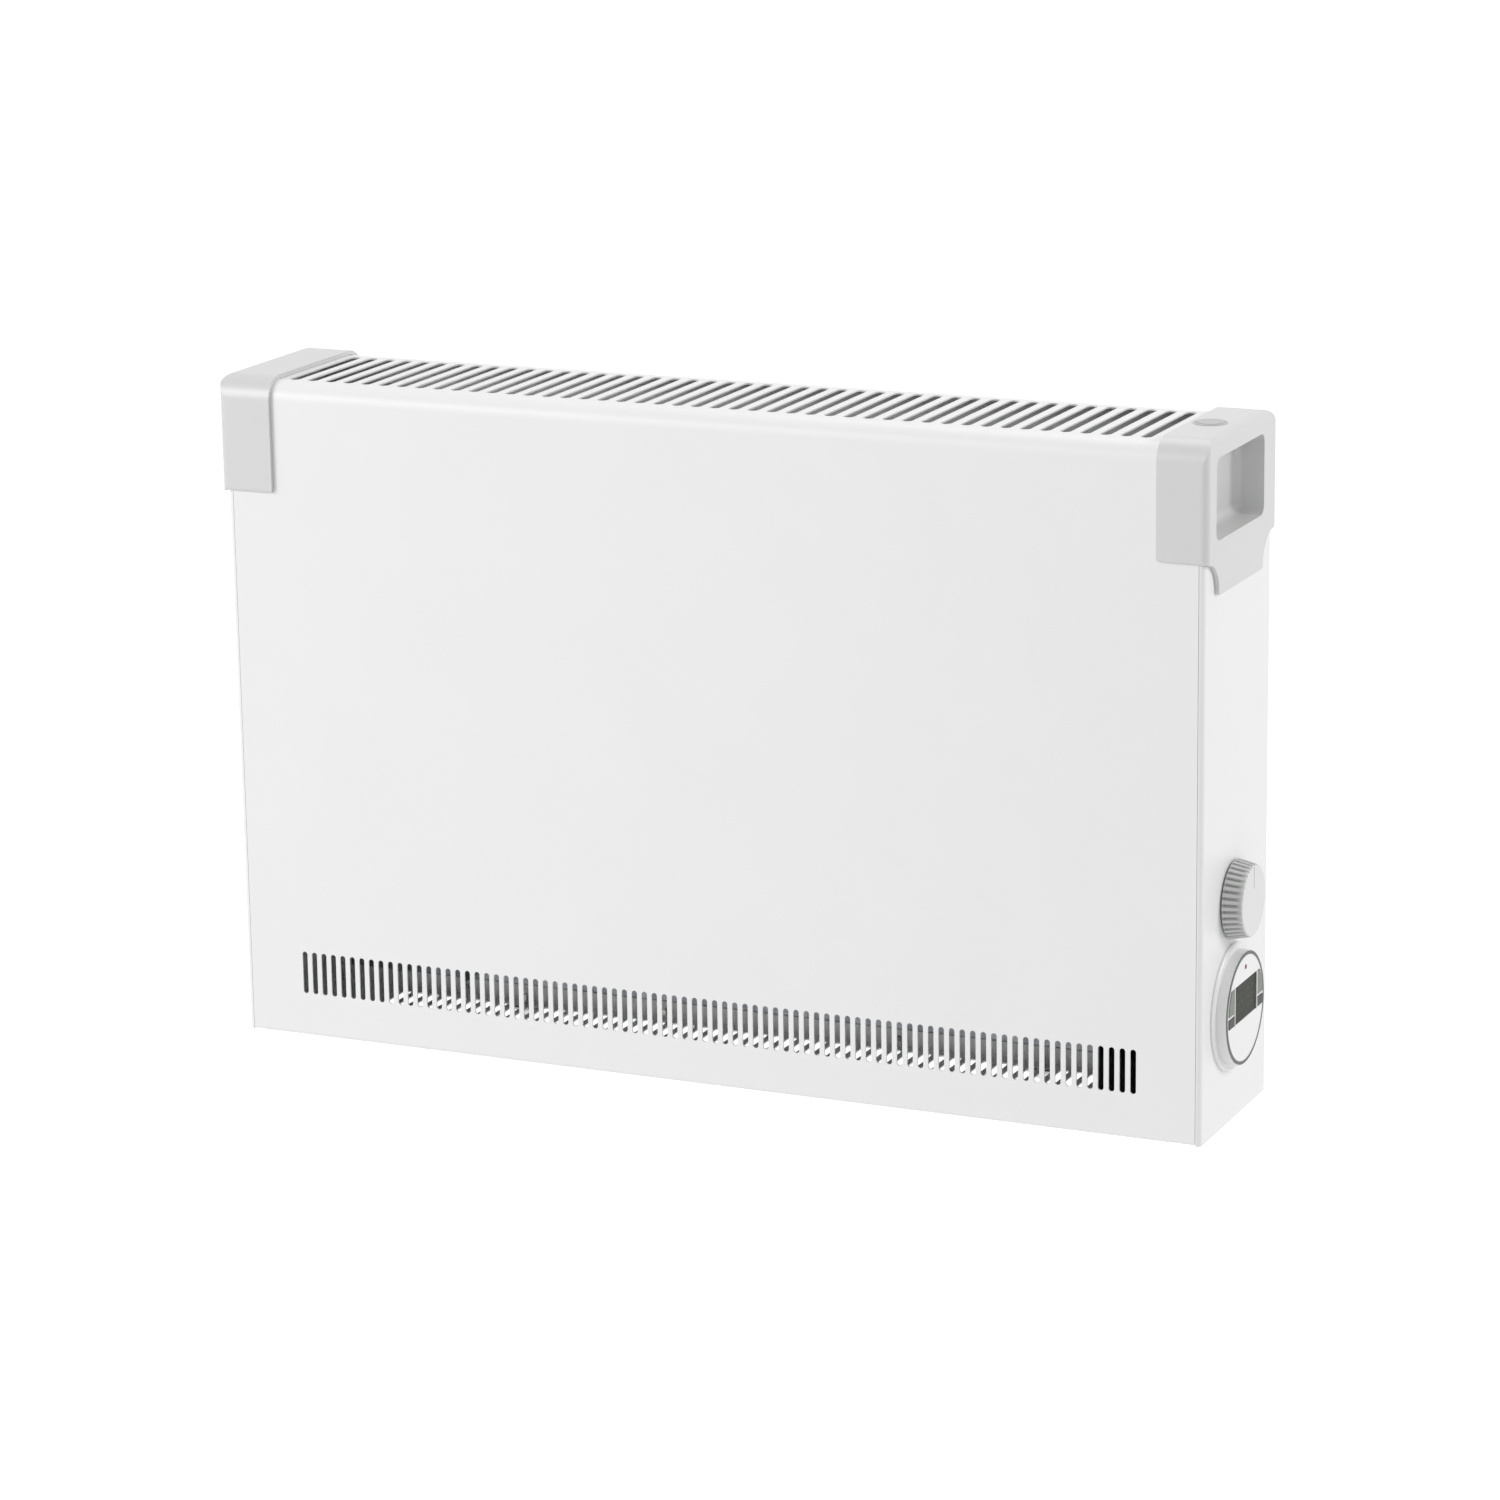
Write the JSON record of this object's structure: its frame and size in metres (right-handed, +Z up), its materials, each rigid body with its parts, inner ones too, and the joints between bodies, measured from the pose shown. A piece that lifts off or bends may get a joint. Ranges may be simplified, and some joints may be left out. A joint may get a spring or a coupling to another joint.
{
  "type": "wall panel convector heater",
  "caption": "White steel panel convector heater with slotted air outlet and inlet, grey handle caps, side thermostat knob and digital timer, and a hook-on wall bracket.",
  "frame": {"origin": "middle of the four wall screw holes, on the wall plane behind the bracket", "axes": "-Y out of the wall to the heater's front, +X to the right seen from the front, +Z up"},
  "size_m": [0.697, 0.146, 0.4562],
  "materials": {
    "powder_white": "white powder coat, satin",
    "zinc_sheet": "galvanised sheet, matt",
    "zinc_screws": "zinc plated, semi-bright",
    "cap_plastic": "light grey, fine texture",
    "sheath_steel": "heat-tinted steel",
    "fin_aluminium": "rolled, bare",
    "steatite": "unglazed ceramic",
    "dark_plastic": "black moulding",
    "cream_plastic": "cream moulding",
    "knob_plastic": "white, satin moulding",
    "copper": "bare copper tube",
    "green_board": "green solder mask",
    "lcd_glass": "olive grey display window, unlit",
    "red_lens": "dark red lens, unlit",
    "grey_keys": "grey rubber-feel keys",
    "dark_keys": "dark grey keys",
    "button_plastic": "light grey, satin gloss",
    "collar_plastic": "mid grey collar",
    "brass": "bare brass",
    "brown_lead": "brown insulated lead",
    "blue_lead": "blue insulated lead",
    "green_yellow_lead": "green and yellow insulated lead"
  },
  "bodies": {
    "heater": {"front_casing": "powder_white", "left_end_panel": "powder_white", "right_end_panel": "powder_white", "back_panel": "zinc_sheet", "casing_screws": "zinc_screws", "left_handle_cap": "cap_plastic", "right_handle_cap": "cap_plastic", "cap_screws": "zinc_screws", "air_guide": "powder_white", "heat_shield": "zinc_sheet", "left_support": "zinc_sheet", "control_partition": "zinc_sheet", "lower_element": "sheath_steel", "upper_element": "sheath_steel", "lower_fins": "fin_aluminium", "upper_fins": "fin_aluminium", "element_bushes": "steatite", "element_terminals": "sheath_steel", "cutout_bracket": "zinc_sheet", "thermal_cutout": "dark_plastic", "thermostat_body": "cream_plastic", "thermostat_nut": "zinc_screws", "sensor_capillary": "copper", "sensor_clips": "zinc_sheet", "timer_bezel": "knob_plastic", "timer_face": "knob_plastic", "timer_housing": "dark_plastic", "timer_circuit_board": "green_board", "lcd_module": "dark_plastic", "lcd_window": "lcd_glass", "timer_lamp": "red_lens", "power_collar": "collar_plastic", "power_switch": "dark_plastic", "terminal_block": "cream_plastic", "terminal_screws": "brass", "earth_stud": "brass", "cord_gland": "dark_plastic", "switch_lead": "brown_lead", "timer_lead": "blue_lead", "element_lead": "brown_lead", "earth_lead": "green_yellow_lead", "wall_bracket": "zinc_sheet", "locking_screws": "zinc_screws"},
    "thermostat_dial": {"thermostat_knob": "knob_plastic", "thermostat_shaft": "zinc_screws"},
    "front_upper_timer_key": {"front_upper_key": "grey_keys"},
    "back_upper_timer_key": {"back_upper_key": "grey_keys"},
    "front_lower_timer_key": {"front_lower_key": "dark_keys"},
    "back_lower_timer_key": {"back_lower_key": "dark_keys"},
    "power_push_button": {"power_button": "button_plastic"}
  },
  "joints": [
    {"name": "thermostat_turn", "type": "hinge", "parent": "heater", "child": "thermostat_dial", "pos_m": [0.34, -0.0845, -0.1036], "axis": [1, 0, 0], "range_deg": [-135, 135]},
    {"name": "front_upper_key_press", "type": "slide", "parent": "heater", "child": "front_upper_timer_key", "axis": [-1, 0, 0], "range_m": [0, 0.0008], "stiffness_N_per_m": 300, "springref_m": -0.001},
    {"name": "back_upper_key_press", "type": "slide", "parent": "heater", "child": "back_upper_timer_key", "axis": [-1, 0, 0], "range_m": [0, 0.0008], "stiffness_N_per_m": 300, "springref_m": -0.001},
    {"name": "front_lower_key_press", "type": "slide", "parent": "heater", "child": "front_lower_timer_key", "axis": [-1, 0, 0], "range_m": [0, 0.0008], "stiffness_N_per_m": 300, "springref_m": -0.001},
    {"name": "back_lower_key_press", "type": "slide", "parent": "heater", "child": "back_lower_timer_key", "axis": [-1, 0, 0], "range_m": [0, 0.0008], "stiffness_N_per_m": 300, "springref_m": -0.001},
    {"name": "power_button_press", "type": "slide", "parent": "heater", "child": "power_push_button", "axis": [0, 0, -1], "range_m": [0, 0.0012], "stiffness_N_per_m": 400, "springref_m": -0.002}
  ]
}
